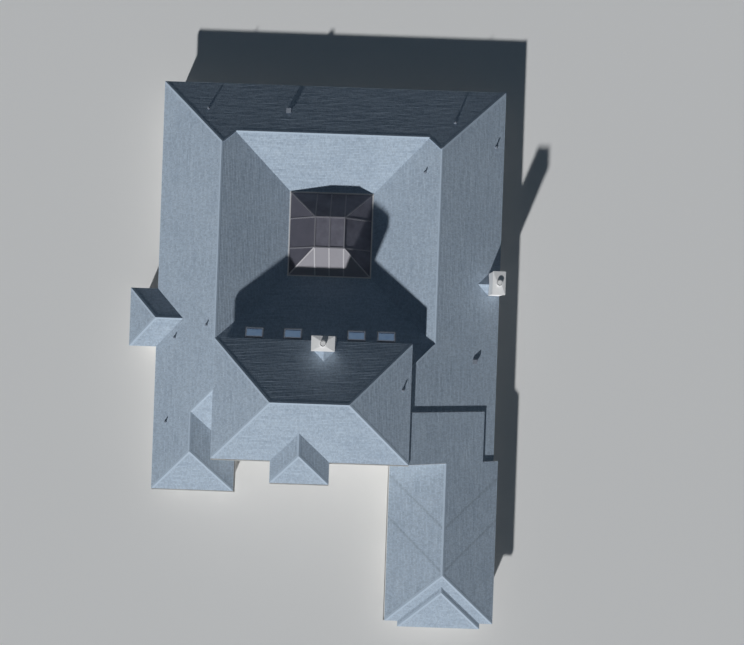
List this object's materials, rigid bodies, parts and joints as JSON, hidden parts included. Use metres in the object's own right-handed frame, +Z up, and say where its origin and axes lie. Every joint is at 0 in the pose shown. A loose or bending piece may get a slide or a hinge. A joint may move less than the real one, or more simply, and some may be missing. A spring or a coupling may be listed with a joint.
{
  "type": "half-scale courtyard house model",
  "caption": "Half-scale one-storey courtyard house with hip roofs, a tall middle block, a garage wing and a screened court.",
  "frame": {"origin": "middle of the footprint over all eaves, on the ground", "axes": "+Y towards the back of the house, +X to the right seen from the street, +Z up"},
  "size_m": [15.345, 22.105, 4.77],
  "materials": {
    "concrete": "smooth cast concrete",
    "deck_tile": "matte tile",
    "stucco": "painted stucco",
    "shingle": "granulated asphalt shingle",
    "white_trim": "satin white paint",
    "white_frame": "satin white paint",
    "pane_glass": "clear glass",
    "door_wood": "stained and varnished",
    "door_metal": "matte white paint",
    "dark_metal": "dark painted metal",
    "skylight_glass": "tinted glass",
    "screen_metal": "grey coated aluminium",
    "screen_cloth": "charcoal insect mesh",
    "pipe_plastic": "matte grey"
  },
  "bodies": {
    "root": {"floor_slab": "concrete", "court_deck": "deck_tile", "back_wall": "stucco", "left_walls": "stucco", "front_wing_walls": "stucco", "entry_wall": "stucco", "right_wall": "stucco", "garage_door_wall": "stucco", "garage_walls": "stucco", "garage_back_wall": "stucco", "court_walls": "stucco", "block_back_wall": "stucco", "block_side_walls": "stucco", "back_roof": "shingle", "left_roof": "shingle", "right_roof": "shingle", "terrace_roof": "shingle", "front_wing_roof": "shingle", "bay_roof": "shingle", "garage_roof": "shingle", "block_roof": "shingle", "porch_roof": "shingle", "link_roof": "shingle", "wing_eaves": "white_trim", "block_eaves": "white_trim", "back_chimney": "stucco", "side_chimney": "stucco", "chimney_caps": "stucco", "crickets": "shingle", "terrace_posts": "stucco", "porch_columns": "stucco", "window_frames": "white_frame", "window_panes": "pane_glass", "front_frames": "white_frame", "front_panes": "pane_glass", "garden_door_frames": "white_frame", "garden_door_panes": "pane_glass", "entry_doors": "door_wood", "roller_doors": "door_metal", "skylight_curbs": "dark_metal", "skylight_panes": "skylight_glass", "screen_frame": "screen_metal", "screen_panels": "screen_cloth", "vent_pipes": "pipe_plastic", "gutters": "white_trim"}
  },
  "joints": []
}
